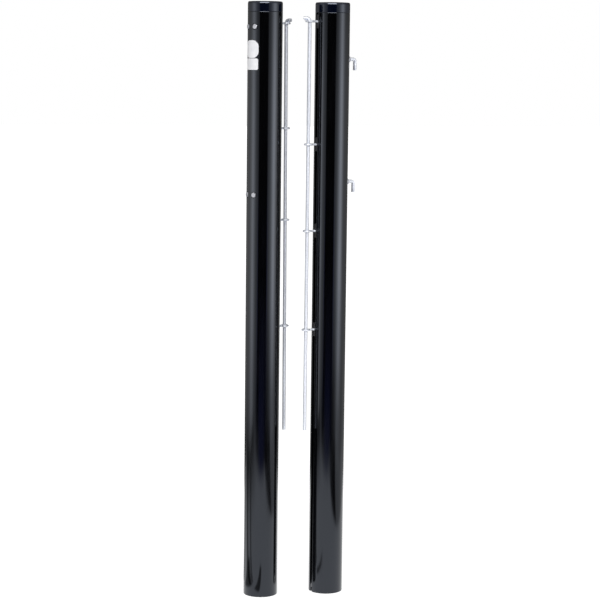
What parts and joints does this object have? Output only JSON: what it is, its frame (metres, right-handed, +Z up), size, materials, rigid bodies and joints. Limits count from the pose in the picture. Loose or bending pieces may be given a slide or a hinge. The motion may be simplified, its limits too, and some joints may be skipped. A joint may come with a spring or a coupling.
{
  "type": "net post pair with lacing rods",
  "caption": "Pair of round black net posts with flush caps, slotted sides, sliding eyebolts, bright lacing rods, cable hooks and a screw tensioner inside one post.",
  "frame": {"origin": "centre of the left post's foot, on the floor", "axes": "+Z up the posts, +X from the left post to the right post, +Y away from the viewer"},
  "size_m": [0.2509, 0.0762, 1.321],
  "materials": {
    "post_black": "gloss",
    "cap_black": "gloss",
    "zinc_steel": "bright zinc plate",
    "block_black": "moulded",
    "bearing_aluminium": "as cast",
    "screw_steel": "oiled",
    "roller_nylon": "turned",
    "carriage_brass": "machined",
    "label_white": "vinyl"
  },
  "bodies": {
    "left_post": {"left_tube": "post_black", "upper_bearing": "bearing_aluminium", "lower_bearing": "bearing_aluminium", "upper_bolts": "zinc_steel", "lower_bolts": "zinc_steel", "upper_label": "label_white", "lower_label": "label_white", "roller_pin": "screw_steel"},
    "left_cap": {"left_cap": "cap_black"},
    "left_rod": {"left_rod": "zinc_steel"},
    "lead_screw": {"lead_screw": "screw_steel"},
    "guide_roller": {"guide_roller": "roller_nylon"},
    "carriage": {"carriage": "carriage_brass", "cable_pin": "screw_steel"},
    "right_post": {"right_tube": "post_black", "upper_hook": "zinc_steel", "lower_hook": "zinc_steel", "upper_hook_nuts": "zinc_steel", "lower_hook_nuts": "zinc_steel"},
    "right_cap": {"right_cap": "cap_black"},
    "right_rod": {"right_rod": "zinc_steel"},
    "left_eye_1": {"left_eyebolt_1": "zinc_steel", "left_slide_block_1": "block_black", "left_eye_nut_1": "zinc_steel"},
    "left_eye_2": {"left_eyebolt_2": "zinc_steel", "left_slide_block_2": "block_black", "left_eye_nut_2": "zinc_steel"},
    "left_eye_3": {"left_eyebolt_3": "zinc_steel", "left_slide_block_3": "block_black", "left_eye_nut_3": "zinc_steel"},
    "left_eye_4": {"left_eyebolt_4": "zinc_steel", "left_slide_block_4": "block_black", "left_eye_nut_4": "zinc_steel"},
    "right_eye_1": {"right_eyebolt_1": "zinc_steel", "right_slide_block_1": "block_black", "right_eye_nut_1": "zinc_steel"},
    "right_eye_2": {"right_eyebolt_2": "zinc_steel", "right_slide_block_2": "block_black", "right_eye_nut_2": "zinc_steel"},
    "right_eye_3": {"right_eyebolt_3": "zinc_steel", "right_slide_block_3": "block_black", "right_eye_nut_3": "zinc_steel"},
    "right_eye_4": {"right_eyebolt_4": "zinc_steel", "right_slide_block_4": "block_black", "right_eye_nut_4": "zinc_steel"}
  },
  "joints": [
    {"name": "right_post_set_apart", "type": "slide", "parent": "left_post", "child": "right_post", "axis": [1, 0, 0], "range_m": [0, 1.2]},
    {"name": "left_cap_lift", "type": "slide", "parent": "left_post", "child": "left_cap", "axis": [0, 0, 1], "range_m": [0, 0.06]},
    {"name": "left_eye_1_slide", "type": "slide", "parent": "left_post", "child": "left_eye_1", "axis": [0, 0, 1], "range_m": [-0.1, 0.008]},
    {"name": "left_eye_2_slide", "type": "slide", "parent": "left_post", "child": "left_eye_2", "axis": [0, 0, 1], "range_m": [-0.085, 0.09]},
    {"name": "left_eye_3_slide", "type": "slide", "parent": "left_post", "child": "left_eye_3", "axis": [0, 0, 1], "range_m": [-0.11, 0.085]},
    {"name": "left_eye_4_slide", "type": "slide", "parent": "left_post", "child": "left_eye_4", "axis": [0, 0, 1], "range_m": [-0.12, 0.095]},
    {"name": "left_rod_lift", "type": "slide", "parent": "left_eye_1", "child": "left_rod", "axis": [-0.0048, -0.0023, 1], "range_m": [0, 0.95]},
    {"name": "right_cap_lift", "type": "slide", "parent": "right_post", "child": "right_cap", "axis": [0, 0, 1], "range_m": [0, 0.06]},
    {"name": "right_eye_1_slide", "type": "slide", "parent": "right_post", "child": "right_eye_1", "axis": [0, 0, 1], "range_m": [-0.12, 0.002]},
    {"name": "right_eye_2_slide", "type": "slide", "parent": "right_post", "child": "right_eye_2", "axis": [0, 0, 1], "range_m": [-0.08, 0.115]},
    {"name": "right_eye_3_slide", "type": "slide", "parent": "right_post", "child": "right_eye_3", "axis": [0, 0, 1], "range_m": [-0.1, 0.078]},
    {"name": "right_eye_4_slide", "type": "slide", "parent": "right_post", "child": "right_eye_4", "axis": [0, 0, 1], "range_m": [-0.13, 0.088]},
    {"name": "right_rod_lift", "type": "slide", "parent": "right_eye_1", "child": "right_rod", "axis": [0.0014, 0.0004, 1], "range_m": [0, 0.95]},
    {"name": "lead_screw_turn", "type": "hinge", "parent": "left_post", "child": "lead_screw", "pos_m": [-0.01715, -0.00818, 1.081], "axis": [0, 0, 1], "range_deg": [0, 21600]},
    {"name": "carriage_travel", "type": "slide", "parent": "left_post", "child": "carriage", "axis": [0, 0, -1], "range_m": [0, 0.24]},
    {"name": "guide_roller_spin", "type": "hinge", "parent": "left_post", "child": "guide_roller", "pos_m": [0.00361, 0.00172, 1.281], "axis": [-0.4305, 0.9026, 0], "continuous": true}
  ],
  "couplings": [
    {"joint": "carriage_travel", "follows": "lead_screw_turn", "m_per_rad": 0.00063662}
  ]
}
